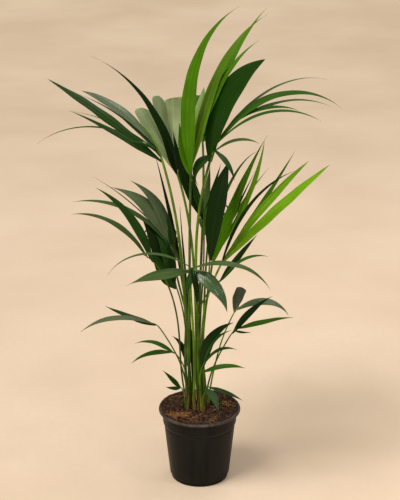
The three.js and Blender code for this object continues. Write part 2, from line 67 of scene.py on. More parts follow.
# Each frond: where its petiole stands and ends, how its rib leaves the petiole and bows over, and its
# leaflets: (tone, share of the rib, length, width, heading, rise, droop, roll, shape if not "point").
# aim is the heading and rise where the petiole ends. A row leaves out its look if "mid", its lean (how
# far the petiole first leans out) if none, its pull (how strongly the petiole's end follows the rib)
# if 1, and its leaflets' curl if CURL.
FRONDS = [
    dict(name="upper_left", foot=(-18.5, 13), top=(-80, 10, 764), aim=(172, 74), bow=35, rib=105,
         lean=(-18, 0), pull=0.9, radii=(3.8, 2.7), leaflets=[
        ("D", 0.03, 325, 34, 200, 44, 11, -40, "paddle"),
        ("G", 0.15, 235, 32, 160, 55, 48, -20, "paddle"),
        ("K", 0.3, 210, 9, 170, 45, 27, -10),
        ("D", 0.05, 265, 26, 212, 38, 12, -40),
        ("M", 0.3, 285, 10, 186, 35, 74, -5),
        ("M", 0.25, 215, 8, 165, 35, 33, 0),
        ("D", 0.15, 105, 9, 215, 50, 56, -40),
    ]),
    dict(name="back_left", look="dark", foot=(-5, 13), top=(-48, 62, 718), aim=(125, 58), bow=10, rib=95,
         lean=(-4, 0), pull=0.8, radii=(3.2, 2.6), leaflets=[
        ("K", 0.02, 340, 28, 175, 78, 56, -40, "whip"),
        ("W", 0.25, 160, 38, 140, 69, -11, -5, "cut_left"),
        ("W", 0.12, 160, 46, 150, 57, 0, -25, "cut_left"),
        ("W", 0.5, 135, 60, 75, 66, -45, -35, "cut_right"),
    ]),
    dict(name="centre", look="bright", foot=(-24.5, -5.5), top=(-19, -22, 744), aim=(85, 75), bow=10, rib=60,
         lean=(2, 0), curl=2.2, radii=(3.4, 2.6), leaflets=[
        ("B", 0.1, 400, 34, 20, 95, 72, 60, "tail"),
        ("O", 0.35, 385, 28, 30, 76, 57, 25, "tail"),
        ("B", 0.8, 375, 20, 45, 60, 30, 5),
        ("B", 0.9, 285, 24, 15, 70, 40, 30),
        ("L", 0.5, 165, 38, 60, 71, 3, -20, "paddle"),
        ("B", 0.05, 115, 34, 130, 67, -10, 15),
    ]),
    dict(name="upper_right", look="dark", foot=(-4, 5), top=(22, 3, 766), aim=(15, 73), bow=32, rib=105,
         lean=(5, 0), pull=0.9, radii=(3.6, 2.8), leaflets=[
        ("F", 0.02, 275, 53, 350, 88, 60, 90, "paddle"),
        ("S", 0.7, 280, 11, 20, 50, 68, 5),
        ("M", 0.55, 315, 28, 352, 57, 99, 25, "tail"),
        ("S", 0.9, 240, 18, 8, 34, 62, 5),
        ("M", 1, 165, 18, 335, 37, 52, 20),
        ("M", 0.45, 280, 15, 330, 48, 71, 25),
        ("S", 0.25, 140, 16, 320, 42, 57, 30),
        ("D", 0.3, 105, 24, 300, 1, 71, -25),
        ("D", 0.2, 95, 34, 200, -14, 125, -10),
    ]),
    dict(name="slim_middle", foot=(3.5, 9.5), top=(10, 26, 624), aim=(100, 84), bow=6, rib=34, lean=(-10, 0),
         radii=(2.4, 1.7), leaflets=[
        ("K", 0.1, 215, 30, 165, 64, -16, -40),
        ("D", 0.45, 100, 22, 150, 69, -6, -10),
        ("D", 0.6, 115, 15, 35, 65, -2, -5),
        ("S", 0.9, 95, 22, 20, 78, -7, 20),
    ]),
    dict(name="dark_middle", look="dark", foot=(14, -0.8), top=(22, -48, 549), aim=(70, 85), bow=0, rib=25,
         lean=(-20, 0), radii=(2.3, 1.7), leaflets=[
        ("K", 0.3, 225, 46, 40, 87, 26, 20, "paddle"),
        ("M", 0.9, 315, 12, 58, 73, 81, -30),
    ]),
    dict(name="right_inner", look="bright", foot=(8, 25), top=(28, 24, 517), aim=(50, 78), bow=10, rib=40,
         lean=(-11, -6), radii=(3, 2.4), leaflets=[
        ("B", 0.1, 320, 26, 15, 73, 15, 50, "tail"),
        ("Y", 0.5, 295, 20, 5, 57, -25, 30, "paddle"),
        ("Y", 0.9, 225, 12, 25, 60, 18, 0),
        ("K", 0.6, 215, 12, 15, 64, 1, 15),
    ]),
    dict(name="right_outer", look="bright", foot=(16, 8), top=(44, -14, 526), aim=(20, 62), bow=8, rib=55,
         lean=(-12, 0), radii=(3.2, 2.4), leaflets=[
        ("Y", 0.3, 340, 30, 345, 50, 9, 50, "paddle"),
        ("Y", 0.6, 280, 26, 10, 55, 15, 25, "paddle"),
        ("B", 0.8, 270, 18, 30, 49, -3, 5),
        ("K", 0.1, 330, 14, 325, 73, 47, 65),
    ]),
    dict(name="right_low", look="dark", foot=(8, -7.5), top=(39, -58, 508), aim=(350, 45), bow=10, rib=30,
         lean=(10, 0), radii=(1.9, 1.5), leaflets=[
        ("K", 0.2, 135, 26, 10, 55, 10, 15),
        ("M", 0.6, 140, 16, 330, 59, 63, 30),
    ]),
    dict(name="front", look="grey", foot=(-13.5, -13), top=(-18, -88, 546), aim=(275, 50), bow=30, rib=34,
         lean=(8, 0), radii=(3.2, 2.3), leaflets=[
        ("S", 0.25, 155, 34, 205, 6, 24, -25, "hook"),
        ("H", 0.35, 130, 36, 325, -11, 69, 30),
        ("S", 0.7, 210, 11, 190, 39, 98, -10),
        ("S", 0.8, 195, 22, 345, 24, 84, 10),
        ("D", 0.95, 60, 22, 245, -55, 22, 25),
        ("K", 0.9, 90, 20, 290, -40, 67, -35),
    ]),
    dict(name="left_slim", foot=(-32, -0.5), top=(-76, -58, 518), aim=(200, 66), bow=35, rib=85,
         lean=(-24, 0), radii=(2.1, 1.8), leaflets=[
        ("S", 0.8, 210, 24, 190, 61, 66, -20),
        ("D", 0.6, 215, 30, 175, 73, 47, -30),
    ]),
    dict(name="left_lower", foot=(-25, 0.8), top=(-48, -18, 470), aim=(165, 72), bow=25, rib=90,
         lean=(-14, 0), radii=(2, 1.6), leaflets=[
        ("D", 0.1, 120, 38, 200, 56, -5, -70),
        ("K", 0.35, 155, 44, 160, 68, 16, -45),
        ("K", 0.2, 105, 24, 128, 86, 32, 15),
        ("D", 0.6, 90, 28, 146, 92, 64, -15),
    ]),
    dict(name="left_upper", look="grey", foot=(-25, 17.5), top=(-53, 24, 550), aim=(185, 66), bow=35, rib=60,
         lean=(-26, 0), radii=(3.4, 2.8), leaflets=[
        ("G", 0.2, 225, 38, 190, 71, 61, -65, "hook"),
        ("G", 0.45, 175, 34, 172, 83, 60, -40),
        ("D", 0.1, 85, 22, 150, 82, 9, -15),
        ("S", 0.6, 255, 22, 200, 51, 56, -25),
        ("D", 0.35, 240, 8, 186, 53, 22, -10),
    ]),
    dict(name="left_arch", look="grey", foot=(-28.5, -10.3), top=(-88, -34, 387), aim=(200, 58), bow=40,
         rib=26, pull=0.8, radii=(2, 1.4), leaflets=[
        ("D", 0.6, 125, 26, 185, 21, -6, -10),
        ("G", 0.9, 185, 24, 205, 30, 64, -10),
    ]),
    dict(name="left_short", foot=(-23.6, 9.6), top=(-45, 4, 295), aim=(190, 60), bow=30, rib=28, pull=0.6,
         radii=(2, 1.4), leaflets=[
        ("M", 0.7, 105, 20, 165, 38, 75, 0),
        ("M", 0.95, 105, 22, 200, 17, 61, -5),
    ]),
    dict(name="left_sprout", foot=(-33.6, -7), top=(-40, -8, 224), aim=(200, 60), bow=10, rib=8, pull=0.5,
         radii=(1.9, 1.4), leaflets=[
        ("D", 0.5, 60, 20, 170, 52, 22, -10),
        ("D", 0.9, 45, 16, 215, 3, -34, -15),
    ]),
    dict(name="right_arch", look="grey", foot=(22.5, 2.5), top=(77, 0, 409), aim=(10, 62), bow=20, rib=22,
         lean=(8, 0), pull=0.6, radii=(2, 1.4), leaflets=[
        ("E", 0.2, 60, 26, 50, 74, 25, 20, "blunt"),
        ("G", 0.6, 140, 30, 350, 40, 106, 15),
    ]),
    dict(name="right_reach", look="dark", foot=(13.5, -12), top=(70, -44, 376), aim=(350, 60), bow=20, rib=26,
         lean=(8, 0), pull=0.6, radii=(2, 1.4), leaflets=[
        ("K", 0.2, 130, 26, 358, 59, 32, 25),
        ("M", 0.9, 145, 22, 335, 26, 13, 20),
        ("D", 0.6, 55, 10, 315, 5, -19, 10),
    ]),
    dict(name="middle_low", foot=(3, -15), top=(1, -50, 280), aim=(330, 78), bow=20, rib=40, pull=0.6,
         radii=(2.8, 1.8), leaflets=[
        ("K", 0.4, 150, 32, 350, 87, 68, 60),
        ("D", 0.6, 130, 14, 335, 78, 55, 60),
        ("D", 0.7, 125, 14, 320, 61, 65, 45),
        ("M", 0.2, 165, 24, 310, 33, 24, 25),
    ]),
    dict(name="soil_leaf", look="dark", foot=(8, -19.5), top=(17, -36, 238), aim=(320, 60), bow=10, rib=10,
         pull=0.5, radii=(2.2, 1.5), leaflets=[
        ("C", 0.3, 80, 24, 290, 7, 63, -15),
        ("D", 0.9, 85, 20, 350, -12, 19, 5),
    ]),
    dict(name="behind_left", foot=(-20.5, 22.8), top=(-27, 46, 257), aim=(150, 70), bow=10, rib=20, pull=0.6,
         radii=(2.4, 1.6), leaflets=[
        ("K", 0.4, 80, 22, 165, 92, 75, -20),
        ("D", 0.8, 65, 24, 30, 59, -35, 0),
    ]),
    dict(name="back_tall", foot=(-1.5, 24.5), top=(8, 112, 765), aim=(94, 50), bow=45, rib=130, lean=(-6, 6),
         pull=0.7, radii=(3.2, 2.5),
         fan=dict(count=8, length=170, width=32, spread=20, rise=26, droop=85, tone="M")),
    dict(name="back_right", foot=(6.5, 32), top=(18, 106, 528), aim=(84, 48), bow=45, rib=115, pull=0.7,
         radii=(2.9, 2.2), fan=dict(count=7, length=155, width=30, spread=17, rise=32, droop=86, tone="M")),
    dict(name="back_left_low", foot=(-0.5, 32.8), top=(-56, 89, 488), aim=(104, 48), bow=45, rib=115,
         pull=0.7, radii=(2.9, 2.2),
         fan=dict(count=7, length=155, width=30, spread=18, rise=22, droop=82, tone="D")),
]

# Fronds whose petioles take the darker of the two petiole greens
DEEP_STALKS = ("centre", "slim_middle", "dark_middle", "right_low", "left_slim", "left_lower", "left_arch",
               "left_upper", "right_reach", "back_tall", "back_right", "back_left_low", "behind_left")

# Unopened leaves: slim spears that swell and then taper to a point
SPEARS = [
    dict(name="left", foot=(-13, 20.5), top=(-96, 48, 763), aim=(172, 76), lean=(-10, 15),
         pull=0.9, radius=4.2),
    dict(name="middle", foot=(-10.2, -4.8), top=(-43, -10, 671), aim=(175, 87), lean=(-6, 0),
         pull=0.9, radius=2),
]

# ---- colours
def srgb(red, green, blue):
    """A colour given as 0 to 255 in sRGB, as the linear colour that a shader takes."""
    parts = [c / 255 for c in (red, green, blue)]
    return [c / 12.92 if c <= 0.04045 else ((c + 0.055) / 1.055) ** 2.4 for c in parts] + [1.0]


# Leaf tones, dealt out leaflet by leaflet: young yellow-green ones, old dark ones, and ones that turn
# a waxy grey-green face to the light. They are partly painted light: the yellow-green tones (Y, B, O) also
# paint light shining through a leaf, the darkest (D, F, K) paint shade on leaves turned from the light,
# and the pale grey-green ones (G, W) paint the sheen of the light on a waxy face. Each: (colour, how
# much it catches the light, roughness).
TONES = {
    "Y": (srgb(112, 160, 20), 0.07, 0.4),
    "B": (srgb(70, 118, 2), 0.07, 0.4),
    "O": (srgb(86, 122, 22), 0.07, 0.4),
    "L": (srgb(150, 180, 104), 0.2, 0.4),
    "M": (srgb(48, 88, 12), 0.07, 0.4),
    "D": (srgb(30, 64, 8), 0.12, 0.4),
    "F": (srgb(24, 60, 2), 0.07, 0.4),
    "K": (srgb(18, 40, 5), 0.07, 0.4),
    "G": (srgb(80, 98, 60), 0.45, 0.4),
    "S": (srgb(66, 90, 40), 0.2, 0.4),
    "C": (srgb(46, 74, 38), 0.07, 0.4),
    "H": (srgb(58, 84, 40), 0.5, 0.2),
    "E": (srgb(62, 66, 46), 0.4, 0.25),
    "W": (srgb(156, 174, 126), 0.3, 0.4),
}
UNDERSIDE = srgb(84, 112, 56)
UNDERSIDE_SHARE = 0.25  # how far a leaflet's underside turns to that colour


# ---- node materials
def new_material(name, roughness, specular=0.5):
    material = bpy.data.materials.new(name)
    material.use_nodes = True
    shader = material.node_tree.nodes["Principled BSDF"]
    shader.inputs["Roughness"].default_value = roughness
    shader.inputs["Specular IOR Level"].default_value = specular
    return material, material.node_tree, shader


def node(tree, kind, **values):
    made = tree.nodes.new(kind)
    for key, value in values.items():
        if key in made.inputs:
            made.inputs[key].default_value = value
        else:
            setattr(made, key, value)
    return made


def coordinates(tree, stretch=(1, 1, 1), space="Object"):
    """Texture coordinates in a space, "Object" or "UV", stretched along their axes."""
    source = node(tree, "ShaderNodeTexCoord")
    mapping = node(tree, "ShaderNodeMapping")
    mapping.inputs["Scale"].default_value = stretch
    tree.links.new(source.outputs[space], mapping.inputs["Vector"])
    return mapping.outputs["Vector"]


def noise(tree, scale, stretch=(1, 1, 1), space="Object", detail=4.0, roughness=0.55):
    """Noise over stretched coordinates: a larger scale is finer."""
    made = node(tree, "ShaderNodeTexNoise", Scale=scale, Detail=detail, Roughness=roughness)
    tree.links.new(coordinates(tree, stretch, space), made.inputs["Vector"])
    return made.outputs["Fac"]


def spread(tree, value, low=0.0, high=1.0, start=0.35, end=0.65):
    """Maps a value between start and end, by default the middle of a noise, onto low to high."""
    made = node(tree, "ShaderNodeMapRange",
                **{"From Min": start, "From Max": end, "To Min": low, "To Max": high})
    tree.links.new(value, made.inputs["Value"])
    return made.outputs["Result"]


def combine(tree, operation, first, second):
    """Combines a socket with a number or another socket."""
    made = node(tree, "ShaderNodeMath", operation=operation)
    tree.links.new(first, made.inputs[0])
    if isinstance(second, bpy.types.NodeSocket):
        tree.links.new(second, made.inputs[1])
    else:
        made.inputs[1].default_value = second
    return made.outputs[0]


def part_of(tree, vector, axis):
    """One of a vector's parts, "X", "Y" or "Z"."""
    made = node(tree, "ShaderNodeSeparateXYZ")
    tree.links.new(vector, made.inputs["Vector"])
    return made.outputs[axis]


MIX_INPUTS = (0, 6, 7)  # a colour Mix node's factor and its two colours
MIX_OUTPUT = 2


def mix(tree, factor, first, second):
    """Mixes two colours. Each may be a colour or a socket, and so may the factor."""
    made = node(tree, "ShaderNodeMix", data_type="RGBA")
    for socket, value in zip(MIX_INPUTS, (factor, first, second)):
        if isinstance(value, bpy.types.NodeSocket):
            tree.links.new(value, made.inputs[socket])
        else:
            made.inputs[socket].default_value = value
    return made.outputs[MIX_OUTPUT]


def dress(tree, shader, colour, bumps, roughness=None):
    """Links a shader's colour, bumps, each (height, strength, distance in metres), and roughness."""
    tree.links.new(colour, shader.inputs["Base Color"])
    normal = None
    for height, strength, distance in bumps:
        made = node(tree, "ShaderNodeBump", Strength=strength, Distance=distance)
        tree.links.new(height, made.inputs["Height"])
        if normal is not None:
            tree.links.new(normal, made.inputs["Normal"])
        normal = made.outputs["Normal"]
    tree.links.new(normal, shader.inputs["Normal"])
    if roughness is not None:
        tree.links.new(roughness, shader.inputs["Roughness"])


def scaled(colour, factor):
    return [min(1.0, c * factor) for c in colour[:3]] + [1.0]


def leaf_material(name, colour, rough, rib_gain, specular):
    """Living leaf: long fine veins, a paler midrib, soft blotches, and darker lengthwise bands of painted
    shade in the pleats.
    """
    material, tree, shader = new_material(name, rough, specular)
    veins = noise(tree, 1.0, (46, 1.2, 1), "UV", detail=3.0)
    pleat_shade = noise(tree, 1.0, (13, 0.5, 1), "UV", detail=2.0)
    patches = noise(tree, 14.0, detail=3.0)
    specks = noise(tree, 420.0, detail=2.0)
    base = mix(tree, spread(tree, patches), scaled(colour, 0.82), scaled(colour, 1.16))
    # darker lengthwise bands: painted shade in the pleats of the blade
    base = mix(tree, spread(tree, pleat_shade, 0.0, 0.5, 0.42, 0.6), base, scaled(colour, 0.66))
    base = mix(tree, spread(tree, veins, 0.0, 0.3), base, scaled(colour, 0.62))
    across = part_of(tree, coordinates(tree, space="UV"), "X")
    from_middle = combine(tree, "ABSOLUTE", combine(tree, "SUBTRACT", across, 0.5), 0.0)
    midrib = spread(tree, from_middle, rib_gain, 0.0, 0.015, 0.05)
    base = mix(tree, midrib, base, scaled(colour, 1.5))
    dress(tree, shader, base, [(veins, 0.5, 0.0006), (specks, 0.25, 0.0002)],
          spread(tree, specks, rough - 0.06, rough + 0.08))
    return material


# How far up, in metres, the brown scurf on the petioles begins to fade and is gone
SCURF_FADES = (0.165, 0.235)


def petiole_material(name, dark, light, blotch):
    """Green petiole: streaked above, olive and scurfy brown towards the soil."""
    material, tree, shader = new_material(name, 0.42, specular=0.2)
    streaks = noise(tree, 1.0, (160, 160, 6))
    blotches = noise(tree, 22.0)
    scurf = noise(tree, 300.0, (1, 1, 0.35))
    base = mix(tree, spread(tree, streaks), dark, light)
    base = mix(tree, spread(tree, blotches, 0.0, 0.6), base, blotch)
    low = spread(tree, part_of(tree, coordinates(tree), "Z"), 1.0, 0.0, *SCURF_FADES)
    flecks = combine(tree, "MULTIPLY", low, spread(tree, scurf, start=0.44, end=0.54))
    brown = mix(tree, spread(tree, scurf), srgb(50, 34, 18), srgb(112, 84, 52))
    base = mix(tree, flecks, base, brown)
    dress(tree, shader, base, [(streaks, 0.4, 0.0006), (scurf, 0.25, 0.0002)],
          spread(tree, blotches, 0.34, 0.5))
    return material


def fibrous_material(name, dark, light):
    """Dry papery sheath: fine upright fibres between two browns."""
    material, tree, shader = new_material(name, 0.8, specular=0.25)
    fibres = noise(tree, 1.0, (900, 900, 30), detail=5.0)
    stains = noise(tree, 70.0)
    base = mix(tree, spread(tree, fibres), dark, light)
    base = mix(tree, spread(tree, stains, 0.0, 0.6), base, scaled(dark, 0.6))
    dress(tree, shader, base, [(fibres, 0.8, 0.0008)])
    return material


def crumb_material(name, dark, light):
    """Potting mix, bark and fibre: rough, with broken colour."""
    material, tree, shader = new_material(name, 0.9, specular=0.25)
    grains = noise(tree, 260.0, detail=6.0, roughness=0.7)
    clods = noise(tree, 60.0)
    base = mix(tree, spread(tree, grains), dark, light)
    base = mix(tree, spread(tree, clods, 0.0, 0.6), base, scaled(dark, 0.5))
    dress(tree, shader, base, [(grains, 0.9, 0.0015)], spread(tree, clods, 0.78, 0.9))
    return material


def plastic_material(name, dark, light, dust, dust_amount, rough):
    """Moulded nursery plastic: faint upright streaks, partly moulding marks and partly painted soft
    highlights, fine grain and dust.
    """
    material, tree, shader = new_material(name, rough, specular=0.3)
    shader.inputs["IOR"].default_value = 1.3
    flow_and_sheen = noise(tree, 1.0, (42, 42, 1.5))
    grain = noise(tree, 900.0, detail=2.0)
    dusting = noise(tree, 55.0, (1, 1, 0.6), detail=6.0, roughness=0.7)
    # the lighter upright streaks are partly moulding marks and partly painted soft highlights
    base = mix(tree, spread(tree, flow_and_sheen), dark, light)
    base = mix(tree, spread(tree, dusting, 0.0, dust_amount, 0.5, 0.72), base, dust)
    dress(tree, shader, base, [(grain, 0.12, 0.0002), (flow_and_sheen, 0.1, 0.0006)],
          spread(tree, flow_and_sheen, rough - 0.05, rough + 0.07))
    return material


LEAF_LOOKS = {}
UNDER_LOOKS = {}
for tone, (colour, gloss, rough) in TONES.items():
    below = [(1 - UNDERSIDE_SHARE) * a + UNDERSIDE_SHARE * b for a, b in zip(colour, UNDERSIDE)]
    LEAF_LOOKS[tone] = leaf_material(f"leaf_{tone}", colour, rough, 0.16, gloss)
    UNDER_LOOKS[tone] = leaf_material(f"leaf_{tone}_under", below, 0.6, 0.35, 0.08)
PETIOLE_LOOKS = {
    "light_green": petiole_material("petiole_fresh", srgb(62, 102, 0), srgb(116, 156, 8), srgb(44, 78, 2)),
    "deep": petiole_material("petiole_deep", srgb(40, 70, 4), srgb(80, 112, 14), srgb(26, 48, 4)),
}
DRY_LOOK = leaf_material("leaf_dry", srgb(120, 92, 52), 0.7, 0.2, 0.2)
SHEATH_LOOK = fibrous_material("sheath", srgb(46, 46, 16), srgb(88, 84, 36))
PAPER_LOOK = fibrous_material("papery_sheath", srgb(84, 56, 36), srgb(150, 112, 80))
SOIL_LOOK = crumb_material("soil", srgb(22, 14, 9), srgb(84, 56, 34))
BARK_LOOKS = {
    "dark": crumb_material("bark_dark", srgb(26, 17, 11), srgb(66, 44, 28)),
    "brown": crumb_material("bark_brown", srgb(70, 44, 25), srgb(130, 86, 50)),
    "tan": crumb_material("bark_tan", srgb(124, 84, 48), srgb(186, 136, 84)),
    "orange": crumb_material("bark_orange", srgb(92, 56, 32), srgb(166, 110, 64)),
}
# The pot's lighter tone paints soft upright highlights down its wall as well as moulding marks.
POT_LOOK = plastic_material("pot", srgb(9, 8, 7), srgb(21, 20, 18), srgb(36, 33, 30), 0.15, 0.42)
# The lip's lighter look is painted light on its rounded top, along with scuffs and dust.
PAINTED_LIT_LIP_LOOK = plastic_material("pot_lip", srgb(50, 45, 41), srgb(72, 65, 60), srgb(118, 106, 97), 0.35, 0.45)


# ---- mesh building
class Piece:
    """Collects closed skins in millimetres and makes them into one object."""

    def __init__(self):
        self.points, self.quads, self.corners, self.looks = [], [], [], []
        self.caps, self.cap_looks, self.materials = [], [], []
        self.count = 0

    def look(self, material):
        if material not in self.materials:
            self.materials.append(material)
        return self.materials.index(material)

    def skin(self, rings, look, row_looks=None, across=None, shift=0.0):
        """Lofts a closed skin over rings of points, an array (rings, around, 3), and caps its ends.
        look is a material, or one for each column of faces; row_looks overrides it for some rows.
        across is the texture coordinate at each side of each column, which otherwise runs round."""
        rings = np.asarray(rings, float)
        rows, around = rings.shape[0] - 1, rings.shape[1]
        place = self.count + np.arange((rows + 1) * around).reshape(rows + 1, around)
        self.points.append(rings.reshape(-1, 3))
        self.count += (rows + 1) * around
        ahead = np.roll(place, -1, axis=1)
        quads = np.stack([place[:-1], ahead[:-1], ahead[1:], place[1:]], axis=2)
        self.quads.append(quads.reshape(-1, 4))
        if across is None:
            across = [(k / around, (k + 1) / around) for k in range(around)]
        left, right = np.asarray(across, float).T
        low = shift + np.arange(rows) / rows
        corners = np.zeros((rows, around, 4, 2))
        corners[:, :, (0, 3), 0] = left[None, :, None]
        corners[:, :, (1, 2), 0] = right[None, :, None]
        corners[:, :, (0, 1), 1] = low[:, None, None]
        corners[:, :, (2, 3), 1] = low[:, None, None] + 1 / rows
        self.corners.append(corners.reshape(-1, 2))
        columns = look if isinstance(look, list) else [look] * around
        index = np.tile([self.look(material) for material in columns], (rows, 1))
        for r, material in enumerate(row_looks or []):
            if material is not None:
                index[r] = self.look(material)
        self.looks.append(index.ravel())
        self.caps += [place[0][::-1].tolist(), place[-1].tolist()]
        self.cap_looks += [index[0, 0], index[-1, 0]]

    def make(self, name, replaced=(), sharp=50):
        mesh = bpy.data.meshes.new(name)
        quads = np.concatenate(self.quads)
        mesh.from_pydata((np.concatenate(self.points) * MM).tolist(), [], quads.tolist() + self.caps)
        for material in self.materials:
            mesh.materials.append(material)
        looks = np.concatenate(self.looks + [self.cap_looks])
        mesh.polygons.foreach_set("material_index", looks.astype(np.int32))
        layer = mesh.uv_layers.new(name="UVMap")
        ends = np.full((sum(len(cap) for cap in self.caps), 2), 0.5)
        layer.data.foreach_set("uv", np.concatenate(self.corners + [ends]).ravel())
        mesh.polygons.foreach_set("use_smooth", np.ones(len(mesh.polygons), bool))
        mesh.set_sharp_from_angle(angle=radians(sharp))
        piece = add_object(name, mesh)
        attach(piece, "root")
        if replaced:
            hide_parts(*replaced)
        return piece


def add_object(name, data):
    made = bpy.data.objects.new(name, data)
    SCENE.collection.objects.link(made)
    return made


def towards(heading, rise):
    level = cos(radians(rise))
    return np.array([cos(radians(heading)) * level, sin(radians(heading)) * level, sin(radians(rise))])


def unit(vector):
    return vector / np.linalg.norm(vector)


def grow_line(base, length, heading, rise, droop, curl, steps):
    """A line that starts at base and bends down by droop degrees over its length."""
    points = [np.array(base, float)]
    tangents = [towards(heading, rise)]
    for i in range(steps):
        middle = (i + 0.5) / steps
        points.append(points[-1] + towards(heading, rise - droop * middle ** curl) * length / steps)
        tangents.append(towards(heading, rise - droop * ((i + 1) / steps) ** curl))
    return np.array(points), np.array(tangents)


def petiole_line(row, steps):
    foot = np.array([*row["foot"], SOIL_TOP + STEM_HEIGHT], float)
    top = np.array(row["top"], float)
    reach = np.linalg.norm(top - foot)
    first = foot + np.array([*row.get("lean", (0, 0)), FOOT_REACH * reach])
    second = top - towards(*row["aim"]) * TIP_REACH * reach * row.get("pull", 1)
    s = np.linspace(0, 1, steps + 1)[:, None]
    return (1 - s) ** 3 * foot + 3 * (1 - s) ** 2 * s * first + 3 * (1 - s) * s ** 2 * second + s ** 3 * top


def limb_rings(points, radii, sides, groove=0.0):
    """Rings of a limb along points, with a shallow groove down the side at a quarter turn."""
    rings = []
    across = np.array([1.0, 0.0, 0.0])
    turns = np.arange(sides) * 2 * pi / sides
    from_groove = (turns + pi / 2) % (2 * pi) - pi
    shape = 1 - groove * np.exp(-(from_groove / 0.55) ** 2)
    for i, point in enumerate(points):
        tangent = unit(points[min(i + 1, len(points) - 1)] - points[max(i - 1, 0)])
        across = unit(across - tangent * np.dot(across, tangent))
        along = np.cross(tangent, across)
        rings.append(point + radii[i] * shape[:, None] * (
            np.cos(turns)[:, None] * across + np.sin(turns)[:, None] * along))
    return np.array(rings)


# ---- leaflets
# How a leaflet tapers: where along it it is widest, and how quickly it narrows to its tip
SHAPES = {"point": (0.36, 1.15), "tail": (0.3, 1.45), "paddle": (0.55, 0.85), "hook": (0.46, 2.1),
          "whip": (0.15, 2.0)}
# Leaflets that keep their width to a broken-off end, and how far that end slants over
CUTS = {"blunt": 0.0, "cut_left": 0.5, "cut_right": -0.5}
CUT_FROM = 0.92  # where such a leaflet starts to round off
CUT_LEAST = 0.12  # the width left at its end
STEP = 9  # millimetres between a leaflet's rings
FEWEST_STEPS = 14
CUT_STEPS = 48  # the fewest for a leaflet with a broken-off end
WIDE = 20  # from this width a leaflet has more columns of faces
THIN_HALF = 0.25  # half the least width
FULL_HALF = 8  # pleats and waves fade out where half the width is less than this
BLADE_HALF = 0.35  # half the thickness in the middle
EDGE_HALF = 0.02  # and at the edge
ROOT_FOLD = 0.25  # the share of the length that folds up towards the root

# What differs from leaflet to leaflet, as (least, most)
PLEAT_DEPTH = (0.35, 0.6)
WAVE_DEPTH = (0.015, 0.035)  # of the edges, as a share of the width
WAVE_LENGTH = (70, 110)
SIDESTEP = (-1.2, 1.2)  # how far its middle wanders
FOLD_AT_ROOT = (30, 42)  # how far each half leans up, in degrees
FOLD_ALONG = (7, 14)
DRY_FROM = (0.95, 0.98)  # where a dry tip starts
CIRCLE = (0, 6.28)  # a phase, in radians
PLEATS = (3, 4, 5)  # on each half, to choose from
DRY_SHARE = 0.2  # of the leaflets have a dry tip


def leaf_share(share, shape):
    """A leaflet's half-width along its length, as a share of its widest."""
    if shape in CUTS:
        past = max(0.0, (share - CUT_FROM) / (1 - CUT_FROM))
        return min(1.0, LEAF_ROOT + 1.5 * share) * max(CUT_LEAST, sqrt(max(0.0, 1 - past ** 2)))
    widest_at, power = SHAPES[shape]
    opening = sin(min(share / widest_at, 1) * pi / 2)
    past = max(0.0, (share - widest_at) / (1 - widest_at))
    closing = max(0.0, cos(past * pi / 2)) ** power
    return (LEAF_ROOT + (1 - LEAF_ROOT) * opening) * closing


def add_leaflet(piece, base, row, curl, chance):
    """One leaflet as a thin closed blade: a raised midrib, long pleats and waved edges."""
    tone, _, length, width, heading, rise, droop, roll = row[:8]
    shape = row[8] if len(row) > 8 else "point"
    steps = max(CUT_STEPS if shape in CUTS else FEWEST_STEPS, int(length / STEP))
    columns = 12 if width >= WIDE else 8
    points, tangents = grow_line(base, length, heading, rise, droop, curl, steps)
    side = towards(heading + 90, 0)
    place = np.linspace(1, -1, columns + 1)
    draw = chance.uniform
    pleat_count = chance.choice(PLEATS)
    pleat_depth = draw(*PLEAT_DEPTH)
    wave_depth = draw(*WAVE_DEPTH) * width
    wave_count = length / draw(*WAVE_LENGTH)
    phases = (draw(*CIRCLE), draw(*CIRCLE))
    sidestep = draw(*SIDESTEP)
    fold_start = radians(draw(*FOLD_AT_ROOT))
    fold_middle = radians(draw(*FOLD_ALONG))
    rings = []
    for i in range(steps + 1):
        share = i / steps
        swell = sin(pi * share)
        tangent = tangents[i]
        above = np.cross(tangent, side)
        turn = radians(roll * (1 - ROLL_LOSS * share))
        across = side * cos(turn) + above * sin(turn)
        face = np.cross(tangent, across)
        half = max(width / 2 * leaf_share(share, shape), THIN_HALF)
        fold = fold_middle + (fold_start - fold_middle) * max(0.0, 1 - share / ROOT_FOLD) ** 2
        full = min(1.0, half / FULL_HALF)
        pleats = pleat_depth * full * np.cos(place * pi * pleat_count)
        waves = np.sin(2 * pi * wave_count * share + np.where(place > 0, *phases))
        lift = pleats + wave_depth * full * place ** 2 * waves * swell - half * np.abs(place) * sin(fold)
        flat = half * place * (1 - (1 - cos(fold)) * np.abs(place))
        skin = BLADE_HALF * (1 - 0.6 * share) * (1 - place ** 2) + EDGE_HALF
        slant = CUTS.get(shape, 0.0) * half * share ** 4 * place
        centre = points[i] + across * sidestep * swell + tangent * slant[:, None]
        top = centre + flat[:, None] * across + (lift + skin)[:, None] * face
        under = centre + flat[:, None] * across + (lift - skin)[:, None] * face
        rings.append(np.concatenate([top, under[-2:0:-1]]))
    column_looks = [LEAF_LOOKS[tone]] * columns + [UNDER_LOOKS[tone]] * columns
    dry_from = draw(*DRY_FROM) if chance.random() < DRY_SHARE and shape not in CUTS else 2.0
    row_looks = [DRY_LOOK if (r + 0.5) / steps > dry_from else None for r in range(steps)]
    upper = [(k / columns, (k + 1) / columns) for k in range(columns)]
    lower = [(1 - left, 1 - right) for left, right in upper]
    piece.skin(rings, column_looks, row_looks, upper + lower, draw(0, 50))


